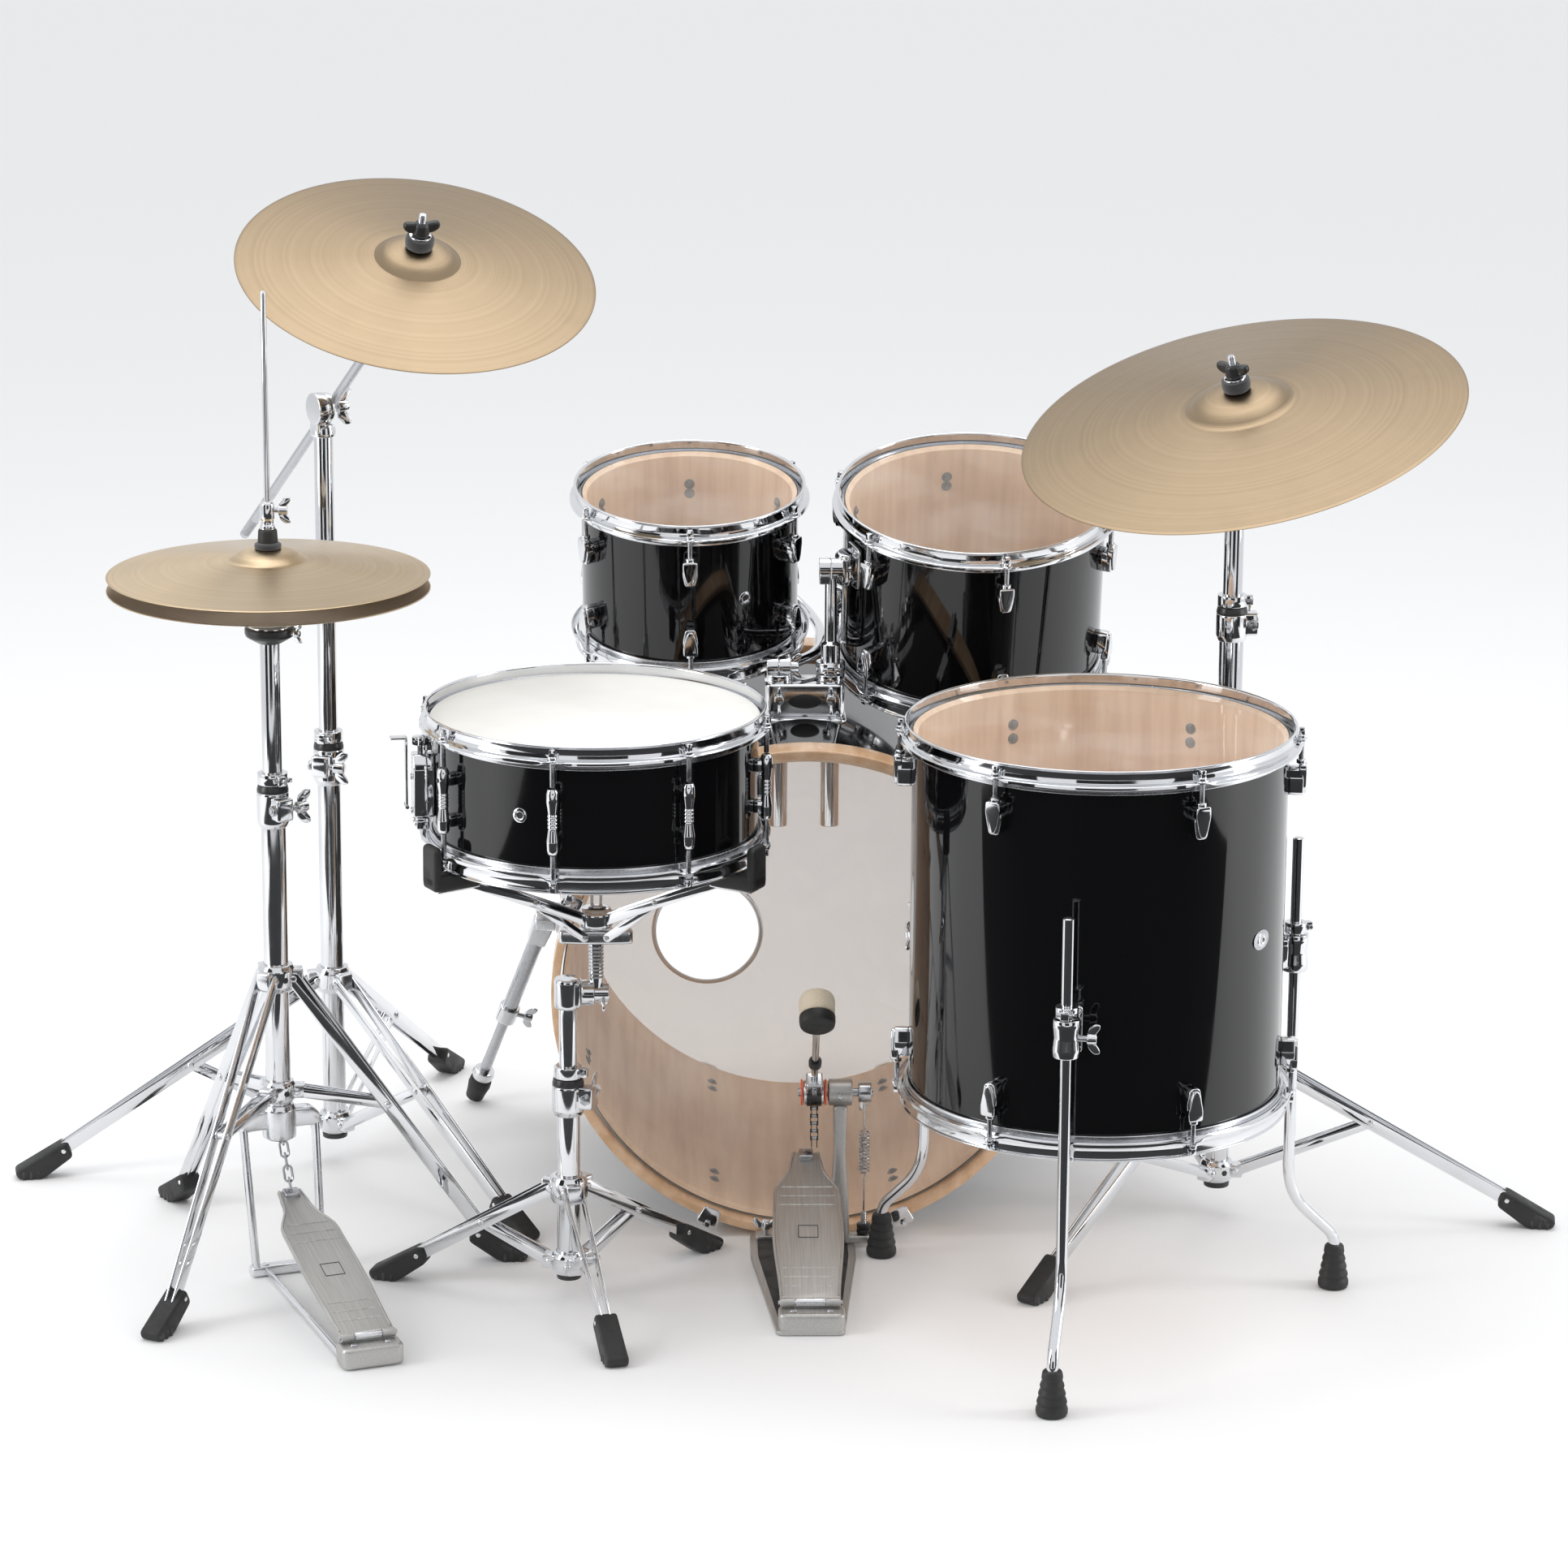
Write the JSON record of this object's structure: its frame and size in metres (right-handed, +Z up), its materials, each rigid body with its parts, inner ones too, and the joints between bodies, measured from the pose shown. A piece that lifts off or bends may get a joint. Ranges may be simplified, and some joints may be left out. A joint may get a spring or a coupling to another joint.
{
  "type": "acoustic drum kit",
  "caption": "Acoustic drum kit with gloss black shells on chrome stands: bass drum with pedal, snare, hanging toms, floor tom, hi-hat and boom and straight cymbal stands.",
  "frame": {"origin": "on the floor, under the middle of the kit's overall box", "axes": "+Z up; +Y from the player's side towards the bass drum's front head; +X to the player's right"},
  "size_m": [1.8106, 1.2036, 1.1813],
  "materials": {
    "black_lacquer": "gloss",
    "maple_hoop": "satin",
    "clear_film": "gloss",
    "coated_film": "matte",
    "white_film": "satin",
    "chrome": "polished",
    "bronze": "satin",
    "cast_aluminium": "satin",
    "steel": "satin"
  },
  "bodies": {
    "kit": {"bass_shell": "black_lacquer", "bass_batter_hoop": "maple_hoop", "bass_batter_head": "clear_film", "bass_front_hoop": "maple_hoop", "bass_front_head": "white_film", "tom_holder_bracket": "chrome", "floor_tom_shell": "black_lacquer", "floor_tom_batter_hoop": "chrome", "floor_tom_batter_head": "clear_film", "floor_tom_bottom_hoop": "chrome", "floor_tom_bottom_head": "clear_film", "snare_stand_base": "chrome", "hihat_stand_base": "chrome", "crash_stand_base": "chrome", "ride_stand_base": "chrome", "bass_pedal_base": "cast_aluminium", "pedal_spring": "steel"},
    "left_spur": {"left_spur_arm": "chrome"},
    "left_spur_rod": {"left_spur_leg": "chrome"},
    "right_spur": {"right_spur_arm": "chrome"},
    "right_spur_rod": {"right_spur_leg": "chrome"},
    "small_tom_post": {"small_tom_post": "chrome"},
    "small_tom": {"small_tom_arm": "chrome", "small_tom_shell": "black_lacquer", "small_tom_batter_hoop": "chrome", "small_tom_batter_head": "clear_film", "small_tom_bottom_hoop": "chrome", "small_tom_bottom_head": "clear_film"},
    "large_tom_post": {"large_tom_post": "chrome"},
    "large_tom": {"large_tom_arm": "chrome", "large_tom_shell": "black_lacquer", "large_tom_batter_hoop": "chrome", "large_tom_batter_head": "clear_film", "large_tom_bottom_hoop": "chrome", "large_tom_bottom_head": "clear_film"},
    "floor_tom_leg_1": {"floor_tom_leg_1": "chrome"},
    "floor_tom_leg_2": {"floor_tom_leg_2": "chrome"},
    "floor_tom_leg_3": {"floor_tom_leg_3": "chrome"},
    "snare_upper_tube": {"snare_upper_tube": "chrome"},
    "snare": {"snare_basket": "chrome", "snare_shell": "black_lacquer", "snare_batter_hoop": "chrome", "snare_batter_head": "coated_film", "snare_bottom_hoop": "chrome", "snare_bottom_head": "clear_film"},
    "snare_throwoff": {"snare_throwoff_lever": "chrome"},
    "hihat_footboard": {"hihat_footboard": "cast_aluminium"},
    "hihat_upper_tube": {"hihat_upper_tube": "chrome"},
    "hihat_bottom_cymbal": {"hihat_bottom_cymbal": "bronze"},
    "hihat_pull": {"hihat_pull_rod": "steel"},
    "hihat_top_cymbal": {"hihat_top_cymbal": "bronze"},
    "crash_upper_tube": {"crash_upper_tube": "chrome"},
    "crash_boom": {"crash_boom": "chrome"},
    "crash_tilter": {"crash_tilter": "chrome"},
    "crash_cymbal": {"crash_cymbal": "bronze"},
    "ride_upper_tube": {"ride_upper_tube": "chrome"},
    "ride_tilter": {"ride_tilter": "chrome"},
    "ride_cymbal": {"ride_cymbal": "bronze"},
    "bass_footboard": {"bass_footboard": "cast_aluminium"},
    "beater": {"beater": "steel"}
  },
  "joints": [
    {"name": "left_spur_fold", "type": "hinge", "parent": "kit", "child": "left_spur", "pos_m": [-0.2755, 0.3471, 0.27], "axis": [1, 0, 0], "range_deg": [0, 80]},
    {"name": "left_spur_length", "type": "slide", "parent": "left_spur", "child": "left_spur_rod", "axis": [-0.3051, 0.3731, -0.8762], "range_m": [-0.055, 0.04]},
    {"name": "right_spur_fold", "type": "hinge", "parent": "kit", "child": "right_spur", "pos_m": [0.3365, 0.3471, 0.27], "axis": [1, 0, 0], "range_deg": [0, 80]},
    {"name": "right_spur_length", "type": "slide", "parent": "right_spur", "child": "right_spur_rod", "axis": [0.3051, 0.3731, -0.8762], "range_m": [-0.055, 0.04]},
    {"name": "small_tom_swivel", "type": "hinge", "parent": "kit", "child": "small_tom_post", "pos_m": [0.0005, 0.1671, 0.6275], "axis": [0, 0, 1], "range_deg": [0, 20]},
    {"name": "small_tom_tilt", "type": "hinge", "parent": "small_tom_post", "child": "small_tom", "pos_m": [0.0005, 0.1671, 0.6275], "axis": [1, 0, 0], "range_deg": [-8, 15]},
    {"name": "large_tom_swivel", "type": "hinge", "parent": "kit", "child": "large_tom_post", "pos_m": [0.0605, 0.1671, 0.745], "axis": [0, 0, 1], "range_deg": [-12, 0]},
    {"name": "large_tom_tilt", "type": "hinge", "parent": "large_tom_post", "child": "large_tom", "pos_m": [0.0605, 0.1671, 0.745], "axis": [1, 0, 0], "range_deg": [-3, 15]},
    {"name": "floor_tom_leg_1_slide", "type": "slide", "parent": "kit", "child": "floor_tom_leg_1", "axis": [0, 0, 1], "range_m": [-0.05, 0.1]},
    {"name": "floor_tom_leg_2_slide", "type": "slide", "parent": "kit", "child": "floor_tom_leg_2", "axis": [0, 0, 1], "range_m": [-0.05, 0.1]},
    {"name": "floor_tom_leg_3_slide", "type": "slide", "parent": "kit", "child": "floor_tom_leg_3", "axis": [0, 0, 1], "range_m": [-0.05, 0.1]},
    {"name": "snare_height", "type": "slide", "parent": "kit", "child": "snare_upper_tube", "axis": [0, 0, 1], "range_m": [0, 0.05]},
    {"name": "snare_tilt", "type": "hinge", "parent": "snare_upper_tube", "child": "snare", "pos_m": [-0.2385, -0.2249, 0.355], "axis": [1, 0, 0], "range_deg": [0, 12]},
    {"name": "snare_throwoff", "type": "hinge", "parent": "snare", "child": "snare_throwoff", "pos_m": [-0.41136, -0.25911, 0.5787], "axis": [0.165, -0.9863, 0], "range_deg": [0, 100]},
    {"name": "hihat_pedal", "type": "hinge", "parent": "kit", "child": "hihat_footboard", "pos_m": [-0.45252, -0.42439, 0.03], "axis": [0.9373, 0.3486, 0], "range_deg": [-2.7, 0]},
    {"name": "hihat_height", "type": "slide", "parent": "kit", "child": "hihat_upper_tube", "axis": [0, 0, 1], "range_m": [-0.06, 0]},
    {"name": "hihat_bottom_spin", "type": "hinge", "parent": "hihat_upper_tube", "child": "hihat_bottom_cymbal", "pos_m": [-0.5665, -0.1179, 0.7577], "axis": [0, 0, 1], "continuous": true},
    {"name": "hihat_pull", "type": "slide", "parent": "kit", "child": "hihat_pull", "axis": [0, 0, 1], "range_m": [-0.013, 0], "stiffness_N_per_m": 400, "springref_m": 0.07},
    {"name": "hihat_top_spin", "type": "hinge", "parent": "hihat_pull", "child": "hihat_top_cymbal", "pos_m": [-0.5665, -0.1179, 0.832], "axis": [0, 0, 1], "continuous": true},
    {"name": "crash_height", "type": "slide", "parent": "kit", "child": "crash_upper_tube", "axis": [0, 0, 1], "range_m": [-0.08, 0.08]},
    {"name": "crash_boom_tilt", "type": "hinge", "parent": "crash_upper_tube", "child": "crash_boom", "pos_m": [-0.5265, 0.2391, 0.917], "axis": [0.8613, 0.5081, 0], "range_deg": [-4, 12]},
    {"name": "crash_tilt", "type": "hinge", "parent": "crash_boom", "child": "crash_tilter", "pos_m": [-0.4184, 0.08518, 1.08333], "axis": [0.9407, 0.3393, 0], "range_deg": [-25, 15]},
    {"name": "crash_spin", "type": "hinge", "parent": "crash_tilter", "child": "crash_cymbal", "pos_m": [-0.4055, 0.0671, 1.134], "axis": [0.1319, -0.3657, 0.9213], "continuous": true},
    {"name": "ride_height", "type": "slide", "parent": "kit", "child": "ride_upper_tube", "axis": [0, 0, 1], "range_m": [-0.03, 0.08]},
    {"name": "ride_tilt", "type": "hinge", "parent": "ride_upper_tube", "child": "ride_tilter", "pos_m": [0.51695, 0.04607, 0.9294], "axis": [0.7416, -0.6708, 0], "range_deg": [-20, 15]},
    {"name": "ride_spin", "type": "hinge", "parent": "ride_tilter", "child": "ride_cymbal", "pos_m": [0.50942, 0.02881, 0.98142], "axis": [-0.2177, -0.2407, 0.9459], "continuous": true},
    {"name": "bass_pedal", "type": "hinge", "parent": "kit", "child": "bass_footboard", "pos_m": [0.029, -0.3279, 0.03], "axis": [1, 0, 0], "range_deg": [-9.9, 0]},
    {"name": "bass_beater", "type": "hinge", "parent": "kit", "child": "beater", "pos_m": [0.0305, -0.0629, 0.185], "axis": [1, 0, 0], "range_deg": [-45.5, 0], "stiffness_Nm_per_rad": 0.6, "springref_deg": 11.46, "deforming": ["pedal_spring"]}
  ],
  "couplings": [
    {"joint": "hihat_pedal", "follows": "hihat_pull", "rad_per_m": 3.491},
    {"joint": "bass_pedal", "follows": "bass_beater", "ratio": 0.2132}
  ]
}
